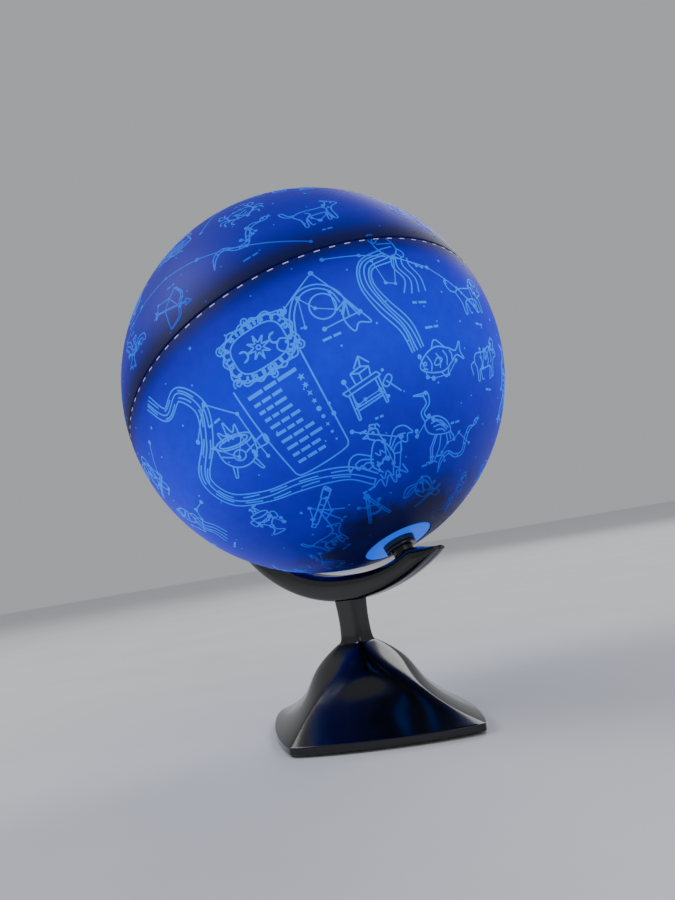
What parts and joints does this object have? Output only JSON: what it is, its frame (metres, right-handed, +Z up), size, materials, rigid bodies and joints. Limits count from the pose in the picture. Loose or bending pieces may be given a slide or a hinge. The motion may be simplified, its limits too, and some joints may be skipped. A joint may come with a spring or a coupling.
{
  "type": "desktop globe on stand",
  "caption": "Lit star globe in two half shells that turns on a tilted axis, held by a half-round arm on a flared four-cornered foot.",
  "frame": {"origin": "middle of the bounding box's base, on the surface that the rubber feet stand on", "axes": "+Z up; +X to the side that the south pole leans to; the globe's axis lies in the XZ plane, 23.5 degrees from upright"},
  "size_m": [0.2475, 0.23, 0.3325],
  "materials": {
    "stand_gloss": "glossy moulded black",
    "stand_matte": "fine satin moulded black",
    "stem_paint": "black painted tube",
    "globe_shell": "satin translucent blue, printed and lit from inside",
    "pole_ring": "clear blue ring, lit from inside",
    "diffuser": "opal, lit from inside",
    "led": "clear lens, lit",
    "rubber": "matt black",
    "steel": "zinc plated",
    "board": "green solder mask",
    "cell": "plain shrink sleeve",
    "lead": "soft insulation"
  },
  "bodies": {
    "stand": {"arm_back": "stand_gloss", "arm_front": "stand_gloss", "arm_screw_1": "steel", "arm_screw_2": "steel", "arm_screw_3": "steel", "base_screw_1": "steel", "base_screw_2": "steel", "base_screw_3": "steel", "base_screw_4": "steel", "battery_cell_1": "cell", "battery_cell_2": "cell", "battery_cell_3": "cell", "battery_lead": "lead", "battery_tray": "stand_matte", "button_bezel": "stand_gloss", "contact_plate_1": "steel", "contact_plate_2": "steel", "foot_ballast": "steel", "foot_base": "stand_matte", "foot_shell": "stand_gloss", "lamp_board": "board", "lamp_diffuser": "diffuser", "lamp_holder": "stand_matte", "lamp_lead": "lead", "led_1": "led", "led_2": "led", "led_3": "led", "neck": "stand_gloss", "neck_bolt": "steel", "north_cap": "stand_gloss", "north_pin": "steel", "rubber_foot_1": "rubber", "rubber_foot_2": "rubber", "rubber_foot_3": "rubber", "rubber_foot_4": "rubber", "south_stem": "stem_paint", "stem_collar": "stand_matte", "switch_body": "stand_matte"},
    "globe": {"north_hemisphere": "globe_shell", "south_hemisphere": "globe_shell", "equator_ring": "stand_matte", "south_pole_ring": "pole_ring", "south_bush": "stand_matte", "north_bush": "stand_matte"},
    "button": {"power_button": "stand_matte"},
    "door": {"battery_door": "stand_matte", "battery_door_screw": "steel"}
  },
  "joints": [
    {"name": "globe_spin", "type": "hinge", "parent": "stand", "child": "globe", "pos_m": [0.00885, 0, 0.2036], "axis": [-0.3987, 0, 0.9171], "continuous": true},
    {"name": "button_press", "type": "slide", "parent": "stand", "child": "button", "axis": [0.5077, -0.5685, -0.6473], "range_m": [0, 0.0012], "stiffness_N_per_m": 500, "springref_m": -0.0008},
    {"name": "battery_door_hinge", "type": "hinge", "parent": "stand", "child": "door", "pos_m": [0.01185, 0.0136, 0.0022], "axis": [1, 0, 0], "range_deg": [0, 95]}
  ]
}
